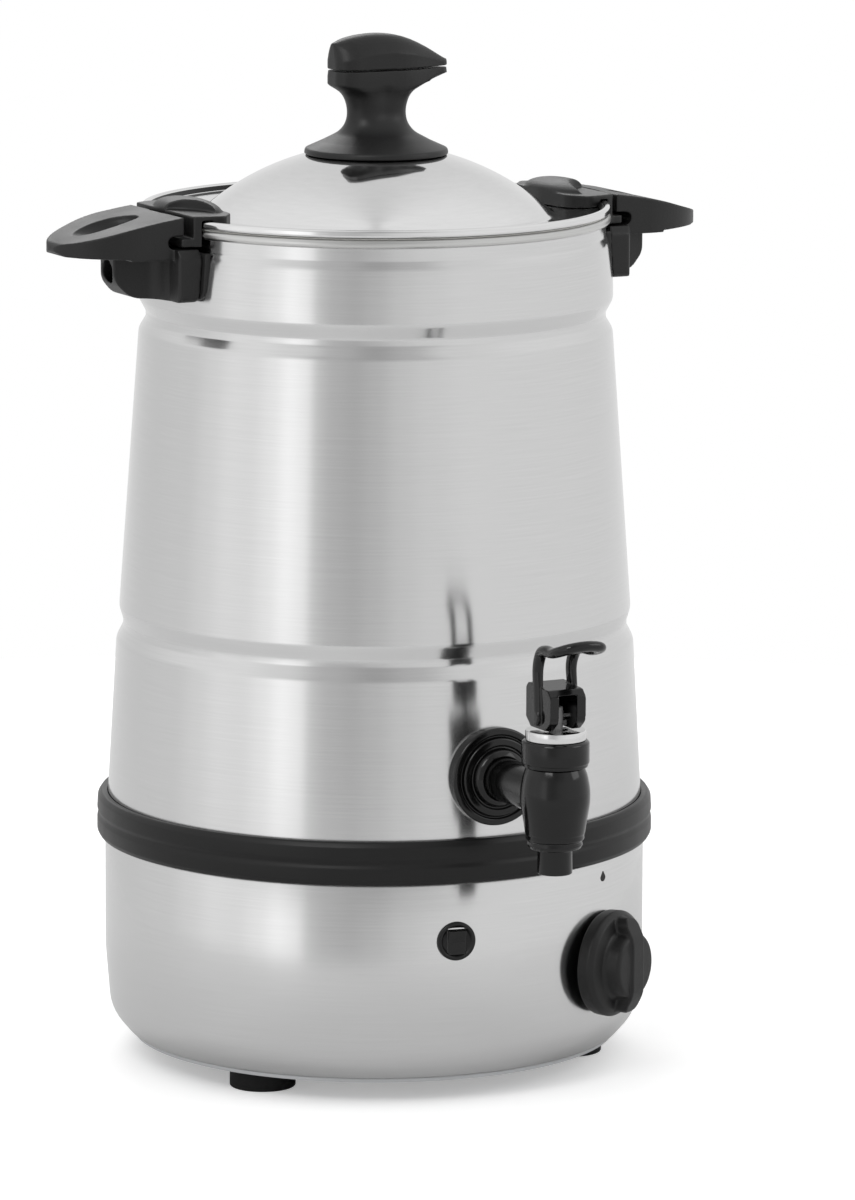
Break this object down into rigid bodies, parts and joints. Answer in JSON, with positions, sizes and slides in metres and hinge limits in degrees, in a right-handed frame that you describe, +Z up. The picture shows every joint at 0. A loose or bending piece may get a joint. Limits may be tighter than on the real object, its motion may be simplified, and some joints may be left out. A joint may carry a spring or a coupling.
{
  "type": "hot water urn",
  "caption": "Hot water urn with a tapered steel body on a plain base, lift-off domed lid with locking ears, two side handles, a lever tap, a dial and a small rocker switch.",
  "frame": {"origin": "on the axis of the urn, on the surface it stands on", "axes": "+Z up, the tap points along -Y, the two handles lie along -X and +X"},
  "size_m": [0.3, 0.313, 0.4369],
  "materials": {
    "brushed_sheet": "satin, brushed round the body",
    "tank_sheet": "satin",
    "polished_sheet": "mirror polished",
    "zinc_plate": "dull zinc plated",
    "aluminium_plate": "as rolled",
    "heater_sheath": "oxidised grey",
    "fastener": "plain",
    "bright_ring": "bright",
    "band_rubber": "soft black",
    "foot_rubber": "soft black",
    "silicone": "translucent white",
    "handle_plastic": "fine grain",
    "dial_plastic": "fine grain",
    "black_plastic": "satin",
    "tap_plastic": "glossy black",
    "stem_plastic": "satin grey",
    "inner_plastic": "heat resisting cream"
  },
  "bodies": {
    "housing": {"upper_casing": "brushed_sheet", "tank": "tank_sheet", "base_casing": "brushed_sheet", "joint_band": "band_rubber", "base_plate": "zinc_plate", "feet": "foot_rubber", "foot_screws": "fastener", "heater_plate": "aluminium_plate", "heater_element": "heater_sheath", "heater_clamp": "zinc_plate", "clamp_stud": "fastener", "thermal_cutout": "inner_plastic", "terminal_block": "inner_plastic", "cable_gland": "black_plastic", "gland_nut": "black_plastic", "thermostat": "inner_plastic", "thermostat_nut": "fastener", "switch_frame": "black_plastic", "handle_left": "handle_plastic", "handle_right": "handle_plastic", "handle_plate_left": "handle_plastic", "handle_plate_right": "handle_plastic", "handle_boss_left": "fastener", "handle_boss_right": "fastener", "handle_screws": "fastener", "tap_rose": "tap_plastic", "tap_spacer": "inner_plastic", "tap_washer": "silicone", "tap_nut": "fastener", "tap_body": "tap_plastic", "tap_collar": "tap_plastic", "bonnet_seal": "silicone", "trim_ring": "bright_ring"},
    "gasket": {"lid_gasket": "silicone"},
    "lid": {"lid": "polished_sheet", "lid_ear_left": "handle_plastic", "lid_ear_right": "handle_plastic", "ear_rivets": "fastener", "knob_stem": "handle_plastic", "knob_cap": "handle_plastic", "knob_screw": "fastener"},
    "valve": {"valve_stem": "stem_plastic", "seat_cup": "silicone"},
    "lever": {"tap_lever": "tap_plastic", "lever_pin": "bright_ring"},
    "dial": {"dial_knob": "dial_plastic", "thermostat_spindle": "fastener"},
    "rocker": {"switch_rocker": "dial_plastic"}
  },
  "joints": [
    {"name": "lid_lift", "type": "slide", "parent": "housing", "child": "gasket", "axis": [0, 0, 1], "range_m": [0, 0.12]},
    {"name": "lid_turn", "type": "hinge", "parent": "gasket", "child": "lid", "pos_m": [0, 0, 0.36], "axis": [0, 0, 1], "range_deg": [0, 36]},
    {"name": "stem_lift", "type": "slide", "parent": "housing", "child": "valve", "axis": [0, 0, 1], "range_m": [0, 0.0037]},
    {"name": "lever_tilt", "type": "hinge", "parent": "valve", "child": "lever", "pos_m": [0, -0.166, 0.1733], "axis": [1, 0, 0], "range_deg": [0, 35], "stiffness_Nm_per_rad": 0.25, "springref_deg": -17.19},
    {"name": "dial_turn", "type": "hinge", "parent": "housing", "child": "dial", "pos_m": [0.05802, -0.09929, 0.052], "axis": [0.5045, -0.8634, 0], "range_deg": [-270, 0]},
    {"name": "rocker_tip", "type": "hinge", "parent": "housing", "child": "rocker", "pos_m": [-0.01784, -0.11138, 0.071], "axis": [0.9874, -0.1582, 0], "range_deg": [-16, 0]}
  ],
  "couplings": [
    {"joint": "stem_lift", "follows": "lever_tilt", "m_per_rad": 0.006}
  ]
}
